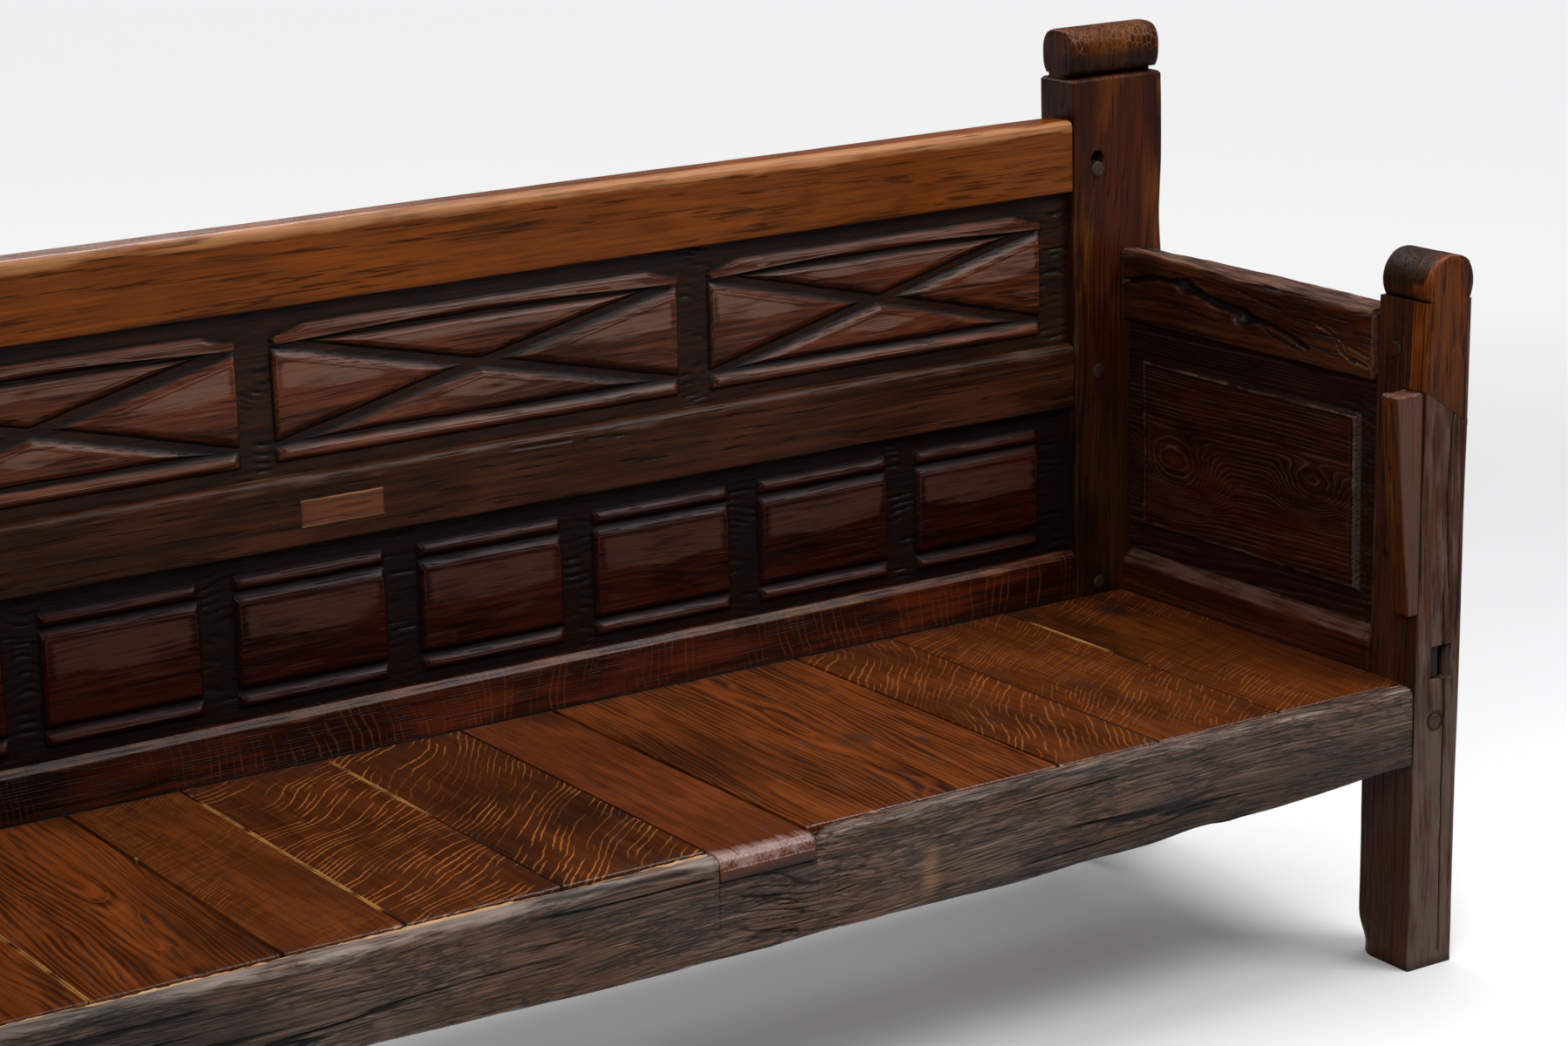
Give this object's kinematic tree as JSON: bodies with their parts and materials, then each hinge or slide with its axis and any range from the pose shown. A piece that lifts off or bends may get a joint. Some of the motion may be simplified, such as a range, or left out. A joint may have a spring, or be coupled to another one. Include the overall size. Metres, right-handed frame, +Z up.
{
  "type": "rustic bench",
  "caption": "Long oak settle with a carved panelled back, tall posts, panelled arms and a board seat.",
  "frame": {"origin": "on the floor under the middle of the bench's bounding box", "axes": "+X along the bench, to the right as seen from in front of it; +Y from the seat to the back; +Z up"},
  "size_m": [2.114, 0.67, 1.1569],
  "materials": {
    "back_post_oak": "old brown oak, waxed, with worn lacquer",
    "front_post_oak": "old brown oak, dry and greyed on its outer faces",
    "golden_rail_oak": "golden oak, satin",
    "dark_rail_oak": "dark waxed oak",
    "carved_board_oak": "near-black waxed oak, worn to brown on the raised fields",
    "skirting_oak": "orange-brown oak, satin",
    "seat_board_oak": "red-brown oak polished by use",
    "nose_board_oak": "reddish oak polished by use",
    "weathered_rail_oak": "grey-black weathered oak with open grain",
    "arm_rail_oak": "dark oak with a worn rough top",
    "arm_panel_oak": "very dark red-brown waxed oak",
    "repair_oak": "newer light brown oak",
    "peg_oak": "end grain of cleft oak pegs"
  },
  "bodies": {
    "root": {"arm_back_peg_sill_left": "peg_oak", "arm_back_peg_sill_right": "peg_oak", "arm_back_peg_top_left": "peg_oak", "arm_back_peg_top_right": "peg_oak", "arm_front_peg_left": "peg_oak", "arm_front_peg_right": "peg_oak", "arm_panel_left": "arm_panel_oak", "arm_panel_right": "arm_panel_oak", "arm_rail_left": "arm_rail_oak", "arm_rail_right": "arm_rail_oak", "arm_sill_left": "arm_rail_oak", "arm_sill_right": "arm_rail_oak", "back_peg_bottom_left": "peg_oak", "back_peg_bottom_right": "peg_oak", "back_peg_mid_left": "peg_oak", "back_peg_mid_right": "peg_oak", "back_peg_top_left": "peg_oak", "back_peg_top_right": "peg_oak", "back_post_left": "back_post_oak", "back_post_right": "back_post_oak", "back_rail_bottom": "skirting_oak", "back_rail_mid": "dark_rail_oak", "back_rail_top": "golden_rail_oak", "carved_board_lower": "carved_board_oak", "carved_board_upper": "carved_board_oak", "front_peg_left": "peg_oak", "front_peg_right": "peg_oak", "front_post_left": "front_post_oak", "front_post_repair": "repair_oak", "front_post_right": "front_post_oak", "front_post_wedge": "front_post_oak", "front_rail": "weathered_rail_oak", "mid_rail_patch": "repair_oak", "seat_board_01": "seat_board_oak", "seat_board_02": "seat_board_oak", "seat_board_03": "seat_board_oak", "seat_board_04": "seat_board_oak", "seat_board_05": "seat_board_oak", "seat_board_06": "nose_board_oak", "seat_board_07": "seat_board_oak", "seat_board_08": "seat_board_oak", "seat_board_09": "seat_board_oak", "seat_board_10": "seat_board_oak"}
  },
  "joints": []
}
